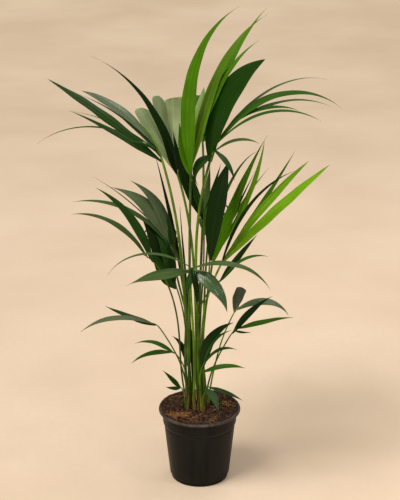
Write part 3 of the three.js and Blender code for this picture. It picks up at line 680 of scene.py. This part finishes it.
def fan_rows(row):
    """The back fronds' leaflets by the source's rule, half as many again and a little narrower."""
    fan = row["fan"]
    count = fan["count"] * 3 // 2
    rows = []
    for i in range(count):
        side = 1 if i % 2 else -1
        share = (i + 0.5) / count
        size = FAN["least"] + FAN["swell"] * sin(pi * share)
        heading = row["aim"][0] + side * fan["spread"] * (1 - FAN["closing"] * share)
        rows.append((fan["tone"], FAN["start"] + (1 - FAN["start"]) * share, fan["length"] * size,
                     fan["width"] * size * 0.85, heading, fan["rise"], fan["droop"], -side * FAN["roll"]))
    return rows


# ---- fronds
STALK_SIDES = 12
BURIED = 5  # how far a petiole reaches down into the mix
FOOT_SPREAD = 0.55  # where it starts between its stem's middle and its own foot
FOOT_SWELL = 1.35  # how much thicker it is there
WANDER = 0.5  # how far it strays from its smooth line


def point_along(points, share):
    place = share * (len(points) - 1)
    i = min(int(place), len(points) - 2)
    return points[i] + (points[i + 1] - points[i]) * (place - i)


def rib_line(row):
    return grow_line(row["top"], row["rib"], *row["aim"], row["bow"], CURL, 16)[0]


def nearest_stem(foot):
    return min(STEMS, key=lambda stem: hypot(stem[0] - foot[0], stem[1] - foot[1]))


def stalk_points(row, chance):
    """The petiole's middle line, from inside the soil to the end of its rib."""
    line = petiole_line(row, 26)
    stem = nearest_stem(row["foot"])
    x, y = (middle + FOOT_SPREAD * (own - middle) for middle, own in zip(stem, row["foot"]))
    root = np.array([x, y, SOIL_TOP - BURIED])
    below = [root + (line[0] - root) * np.array([s ** 1.3, s ** 1.3, s]) for s in (0, 0.25, 0.5, 0.75)]
    rib = rib_line(row)
    points = np.concatenate([below, line, rib[1:]])
    foot_radius, top_radius = row["radii"]
    radii = np.concatenate([
        np.linspace(FOOT_SWELL, 1.04, len(below)) * foot_radius,
        np.linspace(foot_radius, top_radius, len(line)),
        np.linspace(top_radius, RIB_TIP * 0.8, len(rib))[1:],
    ])
    wander = np.sin(np.linspace(0, 1, len(line)) * pi)[:, None] * WANDER
    turns = np.linspace(0, chance.uniform(5, 9), len(line))[:, None] + chance.uniform(*CIRCLE)
    strays = wander * np.concatenate([np.cos(turns), np.sin(turns), 0 * turns], axis=1)
    points[len(below):len(below) + len(line)] += strays
    return points, radii


def add_frond(row, number):
    name = row["name"]
    chance = random.Random(100 + number)
    stalk = Piece()
    points, radii = stalk_points(row, chance)
    look = PETIOLE_LOOKS["deep" if name in DEEP_STALKS else "light_green"]
    stalk.skin(limb_rings(points, radii, STALK_SIDES, groove=0.16), look)
    stalk.make(f"stalk_{name}", [f"petiole_{name}"])
    leaves = Piece()
    rib = rib_line(row)
    for leaflet in row["leaflets"] if "leaflets" in row else fan_rows(row):
        add_leaflet(leaves, point_along(rib, leaflet[1]), leaflet, row.get("curl", CURL), chance)
    leaves.make(f"leaves_{name}", [f"frond_{name}"])


SPEAR_SIDES = 18
SPEAR_FOOT = 0.6  # a spear's radius at its foot, as a share of its greatest
SPEAR_THICKEST = 0.75  # where it is thickest


def add_spear(row, number):
    """An unopened leaf: pleats run along it, and it tapers to a point."""
    chance = random.Random(200 + number)
    points = petiole_line(row, 40)
    shares = np.linspace(0, 1, len(points))
    swelling = SPEAR_FOOT + (1 - SPEAR_FOOT) * shares / SPEAR_THICKEST
    radii = row["radius"] * np.minimum(swelling, (1 - shares) / (1 - SPEAR_THICKEST)) + 0.35
    rings = limb_rings(points, radii, SPEAR_SIDES)
    pleat = 1 + 0.07 * np.where(np.arange(SPEAR_SIDES) % 3 == 0, -1.0, 0.5)
    centres = rings.mean(axis=1, keepdims=True)
    rings = centres + (rings - centres) * pleat[None, :, None]
    piece = Piece()
    piece.skin(rings, LEAF_LOOKS["D" if chance.uniform(0, 0.2) > 0.1 else "K"])
    piece.make(f"unopened_{row['name']}", [f"spear_{row['name']}"])


# ---- sheaths at the foot
def add_wrap(piece, look, centre, radius, low, high, start, sweep, flare, torn, chance):
    """A thin curved sheath round a stem, its top edge torn."""
    columns = max(6, int(sweep / 14))
    rows = 7
    edge = [high - torn * abs(sin(3.1 * k + start) + chance.uniform(-0.4, 0.4)) for k in range(columns + 1)]
    rings = []
    for r in range(rows + 1):
        share = r / rows
        outer = []
        inner = []
        for k in range(columns + 1):
            turn = radians(start + sweep * k / columns)
            z = low + (edge[k] - low) * share
            bulge = 1 + 0.06 * sin(5 * turn + start) + 0.04 * sin(15 * share + k)
            reach = (radius + flare * share ** 2) * bulge
            skin = 0.55 - 0.3 * share
            for side, distance in ((outer, reach), (inner, reach - skin)):
                side.append((centre[0] + distance * cos(turn), centre[1] + distance * sin(turn), z))
        rings.append(outer + inner[::-1])
    piece.skin(rings, look)


def add_thread(piece, look, start, heading, rise, length, radius, bend, chance):
    """A fine curved fibre."""
    points, _ = grow_line(start, length, heading, rise, bend, 1.0, 6)
    points += np.array([[chance.uniform(-0.4, 0.4) for _ in range(3)] for _ in points])
    radii = np.linspace(radius, radius * 0.4, len(points))
    piece.skin(limb_rings(points, radii, 4), look)


def add_stem(number, stem):
    """The clasping leaf bases of one stem: green at the heart, wrapped in dry brown sheaths."""
    x, y, radius = stem
    chance = random.Random(300 + number)
    piece = Piece()
    heart = np.array([[x, y, SOIL_TOP + up] for up in (-6, 2, 8, 14, 19)], float)
    swell = radius * np.array([0.6, 0.56, 0.45, 0.32, 0.14])
    piece.skin(limb_rings(heart, swell, 14, groove=0.2), SHEATH_LOOK)
    draw = chance.uniform
    first = draw(0, 360)
    for k in range(3):
        start = first + k * 120 + draw(-25, 25)
        add_wrap(piece, SHEATH_LOOK if k else PAPER_LOOK, (x, y), radius * draw(0.6, 0.76), SOIL_TOP - 3,
                 SOIL_TOP + draw(7, 20), start, draw(50, 95), draw(-1.5, 0.5), draw(3, 7), chance)
    for _ in range(8):
        turn = draw(0, 360)
        at = np.array([x, y, SOIL_TOP - 1]) + 0.8 * radius * towards(turn, 0)
        add_thread(piece, PAPER_LOOK, at, turn, draw(60, 85), draw(10, 26), 0.35, draw(-25, 30), chance)
    piece.make(f"sheaths_{number}", [f"stem_{number}"])


# Papery shreds left standing between the petioles: (x, y, low, high, width, turn)
SHREDS = [
    (-32.5, -9, 205, 236, 7, 100),
    (-26, -13, 168, 226, 4, 80),
    (-12, -18, 168, 222, 4.5, 95),
    (-6.5, -19, 200, 240, 3.5, 85),
    (-2, -16, 168, 212, 3.5, 110),
    (10, -19, 168, 205, 3.5, 70),
    (19, -5, 168, 214, 5, 60),
]
# A shred's section: how far across it and how deep each corner is
SHRED_SECTION = ((-1, 0.0), (-0.4, 0.7), (0.5, 0.5), (1, -0.2), (0.5, 0.05), (-0.4, 0.25))


def add_shreds():
    chance = random.Random(17)
    piece = Piece()
    for x, y, low, high, width, turn in SHREDS:
        side = towards(turn - 90, 0)
        out = towards(turn + 180, 0)
        rings = []
        for share in np.linspace(0, 1, 12):
            opening = 0.55 + 0.45 * sin(pi * min(1.0, share * 1.3))
            half = 0.5 * width * opening * (1 - 0.75 * share ** 3)
            middle = np.array([x, y, low + (high - low) * share]) + side * 1.4 * sin(4 * share + turn)
            rings.append([middle + side * half * (across + chance.uniform(-0.12, 0.12)) + out * deep
                          for across, deep in SHRED_SECTION])
        piece.skin(rings, PAPER_LOOK)
    piece.make("papery_shreds")


# ---- soil
SOIL_REACH = POT["lip_radius"] - POT["lip_width"] - 0.4
SOIL_SIDES = 240
SOIL_RINGS = 88


def soil_height(x, y):
    """A loose fill up to the rim: broad humps with lumps on them, a hollow, and higher at the wall."""
    reach = hypot(x, y) / 89
    humps = 1.5 * sin(x * 0.061 + 1.3) * cos(y * 0.083 + 0.4)
    humps += 1.2 * sin(x * 0.13 - y * 0.11 + 2)
    lumps = 0.9 * sin(x * 0.41 + y * 0.23) * sin(y * 0.47 - x * 0.19)
    lumps += 0.5 * sin(x * 0.93) * cos(y * 0.89)
    hollow = 5 * exp(-((x - 41) ** 2 + (y + 24) ** 2) / 50)
    return SOIL_TOP + 0.6 + (humps + lumps) * (1 - 0.6 * reach ** 4) + 1.6 * reach ** 2 - hollow


def add_soil():
    chance = random.Random(7)
    piece = Piece()
    turns = np.arange(SOIL_SIDES) * 2 * pi / SOIL_SIDES
    below = POT["collar_radius"] - POT["wall"] - 0.8
    rings = []
    for radius, z in ((1, 146), (below - 3, 146), (below - 1.5, 148), (below, 166), (SOIL_REACH - 1, 171.4)):
        rings.append([(radius * cos(t), radius * sin(t), z) for t in turns])
    for radius in list(np.linspace(SOIL_REACH, 2, SOIL_RINGS)) + [0.6]:
        ring = []
        for t in turns:
            x = radius * cos(t)
            y = radius * sin(t)
            ring.append((x, y, soil_height(x, y) + chance.uniform(-0.8, 0.8) * min(1.0, radius / 6)))
        rings.append(ring)
    piece.skin(rings, SOIL_LOOK)
    piece.make("potting_mix", ["soil"], sharp=80)


# A bark chip's sections along its length: (place, size), each as a share
CHIP_SECTIONS = ((-0.5, 0.45), (-0.3, 0.95), (0.15, 1.0), (0.5, 0.4))
THIN = (0.3, 0.7)  # a chip's usual width, as a share of its length


def add_crumb(piece, look, centre, sizes, turn, tilt, chance):
    """One bark chip: a short, broken, faceted lump."""
    sides = chance.choice((5, 6))
    heading = towards(turn, tilt)
    across = unit(np.cross(heading, np.array([0.0, 0.0, 1.0]) + 0.01))
    above = np.cross(across, heading)
    rings = []
    for place, share in CHIP_SECTIONS:
        ring = []
        for k in range(sides):
            angle = 2 * pi * k / sides + 0.3
            reach = share * chance.uniform(0.75, 1.15)
            ring.append(centre + heading * (place * sizes[0] + chance.uniform(-0.05, 0.05) * sizes[0])
                        - across * 0.5 * sizes[1] * reach * cos(angle)
                        + above * 0.5 * sizes[2] * reach * sin(angle))
        rings.append(ring)
    piece.skin(rings, look)


def scatter(piece, look, chance, count, sizes, place, headings, thin=THIN, raised=0):
    """Drops chips where place() says, as (x, y), bedded a little into the mix."""
    draw = chance.uniform
    for _ in range(count):
        length = draw(*sizes) * (1.5 if chance.random() < 0.1 else 1)
        x, y = place()
        size = (length, length * draw(*thin), length * draw(0.2, 0.45))
        z = soil_height(x, y) + raised + size[2] * draw(0.0, 0.4)
        add_crumb(piece, look, np.array([x, y, z]), size, draw(*headings), draw(-25, 25), chance)


def add_litter():
    """Bark chips, crumbs and fibres lying on the mix, and some spilt on the rim."""
    chance = random.Random(11)
    draw = chance.uniform

    def anywhere(margin=4):
        radius = (SOIL_REACH - margin) * sqrt(chance.random())
        turn = draw(0, 2 * pi)
        return radius * cos(turn), radius * sin(turn)

    def near(x, y, reach):
        return lambda: (chance.gauss(x, reach), chance.gauss(y, 0.75 * reach))

    def on_rim(first, last):
        def place():
            turn = radians(draw(first, last))
            radius = draw(SOIL_REACH - 3, SOIL_REACH + 3)
            return radius * cos(turn), radius * sin(turn)
        return place

    every_way = (0, 360)
    # For each bark: (count, sizes, where, headings, how wide, how much raised)
    litter = {
        "dark": [
            (900, (2, 7), anywhere, every_way),
            (90, (2, 5), on_rim(30, 215), every_way, THIN, 1),
            (1, (15, 16), lambda: (9, -56), (10, 20), (0.8, 0.9)),
        ],
        "brown": [
            (520, (1.8, 8), anywhere, every_way),
            (50, (2, 5), on_rim(120, 215), every_way, THIN, 1),
            (40, (3, 9), near(-52, 22, 10), (20, 60), (0.2, 0.4)),
        ],
        "tan": [
            (230, (1.2, 4.5), anywhere, every_way),
            (46, (1.5, 4), near(16, 0, 8), every_way, (0.5, 0.9)),
            (26, (3, 9), near(64, 14, 9), (-15, 30), (0.2, 0.4)),
            (16, (3, 8), near(-62, -38, 6), every_way, (0.3, 0.5)),
        ],
        "orange": [
            (64, (4, 13), near(-47, -44, 13), (-60, 0), (0.18, 0.4), 0.6),
            (60, (2, 6), anywhere, every_way),
        ],
    }
    for bark, drops in litter.items():
        piece = Piece()
        for drop in drops:
            scatter(piece, BARK_LOOKS[bark], chance, *drop)
        piece.make(f"chips_{bark}", sharp=20)
    piece = Piece()
    for _ in range(150):
        x, y = anywhere(14)
        look = BARK_LOOKS[chance.choice(("dark", "brown", "brown", "tan"))]
        at = (x, y, soil_height(x, y) + 0.8)
        add_thread(piece, look, at, draw(0, 360), draw(-4, 22), draw(7, 20), draw(0.25, 0.6), draw(0, 45),
                   chance)
    piece.make("fibres")


# ---- pot
POT_SIDES = 144
CORNER = 1.2  # how far back each corner of the section is eased
CORNER_STEPS = 4
NICK = dict(heading=282.4, half_width=1.1, depth=1.3)  # in the lip
LIP_LOOK_FROM = 169.6  # the lip's lighter look, painted light with scuffs and dust, starts this high


def rounded(corners):
    """A profile of (radius, height) corners with each corner eased."""
    points = [corners[0]]
    for before, here, after in zip(corners, corners[1:], corners[2:]):
        before, here, after = (np.array(p, float) for p in (before, here, after))
        start = here + unit(before - here) * min(CORNER, 0.45 * np.linalg.norm(before - here))
        end = here + unit(after - here) * min(CORNER, 0.45 * np.linalg.norm(after - here))
        for s in np.linspace(0, 1, CORNER_STEPS + 1):
            points.append((1 - s) ** 2 * start + 2 * s * (1 - s) * here + s ** 2 * end)
    return points + [corners[-1]]


def pot_profile():
    """The pot's section, from the middle underneath out and up to the lip, then down inside."""
    foot, foot_top = POT["foot_radius"], POT["foot_height"]
    shoulder, ledge = POT["shoulder_radius"], POT["shoulder_height"]
    collar, collar_foot = POT["collar_radius"], POT["collar_height"]
    lip, top = POT["lip_radius"], POT["height"]
    lip_foot = top - POT["lip_height"]
    thick = POT["wall"]
    slope = (shoulder - POT["wall_radius"]) / (ledge - foot_top)

    def wall(z):
        return POT["wall_radius"] + slope * (z - foot_top)

    below = [(0.4, 1.2), (foot - 9, 1.2), (foot - 7.5, 0), (foot, 0), (foot, foot_top - 1)]
    outside = [(POT["wall_radius"], foot_top + 2), (wall(40), 40), (wall(90), 90)]
    step = [(shoulder - 0.3, ledge - 2), (shoulder - 1.2, ledge - 1), (shoulder - 1.2, ledge + 1.6),
            (shoulder + 0.6, ledge + 2.6)]
    upright = [(collar - 0.3, collar_foot), (collar + 0.3, 154), (collar + POT["collar_flare"], lip_foot)]
    rim = [(lip - 1.8, lip_foot + 0.3), (lip, lip_foot + 2.4), (lip, top - 3), (lip - 1.2, top - 0.7),
           (lip - 3.2, top), (lip - 5.5, top - 0.4), (lip - 6.5, top - 4)]
    inside = [(collar - thick, lip_foot), (collar - thick - POT["collar_flare"], collar_foot),
              (wall(ledge) - thick, ledge), (wall(14) - thick, 14)]
    floor = [(foot - 2 * thick, 9), (foot - 2 * thick, 5.5), (foot - 2 * thick - 2.5, 3), (0.4, 3)]
    return rounded(below + outside + step + upright + rim + inside + floor)


def add_pot():
    """The moulded pot: a little out of round, with a nick in its lip."""
    profile = pot_profile()
    rings = []
    for radius, z in profile:
        ring = []
        for k in range(POT_SIDES):
            turn = 2 * pi * k / POT_SIDES
            reach = radius
            if z > 12 and radius > 60:
                reach += 0.18 * sin(3 * turn + 0.7) + 0.1 * sin(7 * turn + 2)
            if radius > 88 and z > 166:
                past = (degrees(turn) - NICK["heading"]) / NICK["half_width"]
                reach -= NICK["depth"] * exp(-past ** 2)
            ring.append((reach * cos(turn), reach * sin(turn), z))
        rings.append(ring)
    # Rows high on the outer lip take the lip's lighter look: painted light on its top, with scuffs and dust.
    looks = []
    for (radius, z), (_, next_z) in zip(profile, profile[1:]):
        looks.append(PAINTED_LIT_LIP_LOOK if min(z, next_z) > LIP_LOOK_FROM and radius > 86 else None)
    piece = Piece()
    piece.skin(rings, POT_LOOK, row_looks=looks)
    cut_slots(piece.make("nursery_pot", ["pot"], sharp=35))


def cut_slots(pot):
    """Cuts the drain slots through the foot."""
    cutters = Piece()
    half = DRAIN["width"] / 2
    top = DRAIN["height"]
    outline = ((-half, -2), (half, -2), (half, top - 1.5), (0.86 * half, top), (-0.86 * half, top),
               (-half, top - 1.5))
    for heading in DRAIN["headings"]:
        out = towards(heading, 0)
        side = towards(heading + 90, 0)
        rings = []
        for reach in (-DRAIN["depth"], DRAIN["depth"] * 2):
            middle = out * (POT["foot_radius"] + reach)
            rings.append([middle + side * across + np.array([0, 0, z]) for across, z in outline])
        cutters.skin(rings, POT_LOOK)
    cutter = cutters.make("slot_cutter")
    cut = pot.modifiers.new("slots", "BOOLEAN")
    cut.operation = "DIFFERENCE"
    cut.object = cutter
    cut.solver = "EXACT"
    view = bpy.context.evaluated_depsgraph_get()
    done = bpy.data.meshes.new_from_object(pot.evaluated_get(view))
    pot.modifiers.clear()
    pot.data = done
    bpy.data.objects.remove(cutter)


# ---- the object
for number, row in enumerate(FRONDS):
    add_frond(row, number)
for number, row in enumerate(SPEARS):
    add_spear(row, number)
for number, stem in enumerate(STEMS, 1):
    add_stem(number, stem)
add_shreds()
add_soil()
add_litter()
add_pot()


# ---- floor, light and camera
FLOOR_REACH = 9  # metres
CAMERA_PLACE = (0.0012, -3.0065, 1.69)
CAMERA_TILT = 20.53  # degrees down from level
FOCAL_PIXELS = 1438  # the focal length in pixels of the photo
PHOTO_HEIGHT = 500
SENSOR = 36


def add_floor():
    mesh = bpy.data.meshes.new("floor")
    near, far = -FLOOR_REACH, 2 * FLOOR_REACH
    corners = [(near, near, 0), (-near, near, 0), (-near, far, 0), (near, far, 0)]
    mesh.from_pydata(corners, [], [(0, 1, 2, 3)])
    material, tree, shader = new_material("floor", 0.9, specular=0.2)
    broad = noise(tree, 1.4, detail=3.0)
    fine = noise(tree, 60.0)
    base = mix(tree, spread(tree, broad), srgb(212, 190, 166), srgb(224, 203, 180))
    base = mix(tree, spread(tree, fine, 0.0, 0.15), base, srgb(204, 183, 158))
    dress(tree, shader, base, [(fine, 0.1, 0.001)])
    mesh.materials.append(material)
    add_object("floor", mesh)


def add_light(kind, name, place, target, size, strength, colour):
    """A round lamp of a size in metres, or a sun whose size is its width in degrees."""
    data = bpy.data.lights.new(name, kind)
    if kind == "SUN":
        data.angle = radians(size)
    else:
        data.shape = "DISK"
        data.size = size
    data.energy = strength
    data.color = colour
    light = add_object(name, data)
    x, y, z = np.array(target, float) - np.array(place, float)
    light.location = place
    light.rotation_euler = (atan2(hypot(x, y), -z), 0, atan2(y, x) - pi / 2)


add_floor()
add_light("SUN", "sun", (-1.3, -0.9, 2.6), (0, 0, 0), 24, 2.0, (1.0, 0.96, 0.89))
add_light("AREA", "window", (-1.6, -2.0, 2.0), (0, 0, 0.5), 0.8, 14, (1.0, 0.95, 0.88))
add_light("AREA", "top_back", (0.7, 1.4, 2.4), (0, 0, 0.6), 1.2, 14, (1.0, 0.97, 0.93))
add_light("AREA", "gleam", (1.2, -0.76, 2.24), (0, -0.1, 0.52), 0.3, 6, (1.0, 0.98, 0.95))
add_light("AREA", "low_left", (-0.6, -1.8, 0.3), (0, 0, 0.1), 0.22, 4, (1.0, 0.96, 0.9))
add_light("AREA", "low_right", (0.8, -1.7, 0.3), (0, 0, 0.1), 0.18, 3, (1.0, 0.96, 0.9))

world = bpy.data.worlds.new("studio")
SCENE.world = world
world.use_nodes = True
sky = world.node_tree.nodes["Background"]
sky.inputs["Color"].default_value = srgb(243, 237, 228)
sky.inputs["Strength"].default_value = 0.5

camera_data = bpy.data.cameras.new("camera")
camera_data.sensor_fit = "AUTO"
camera_data.sensor_width = SENSOR
camera_data.lens = FOCAL_PIXELS * SENSOR / PHOTO_HEIGHT
camera = add_object("camera", camera_data)
camera.location = CAMERA_PLACE
camera.rotation_euler = (radians(90 - CAMERA_TILT), 0, 0)
SCENE.camera = camera
SCENE.view_settings.view_transform = "Standard"
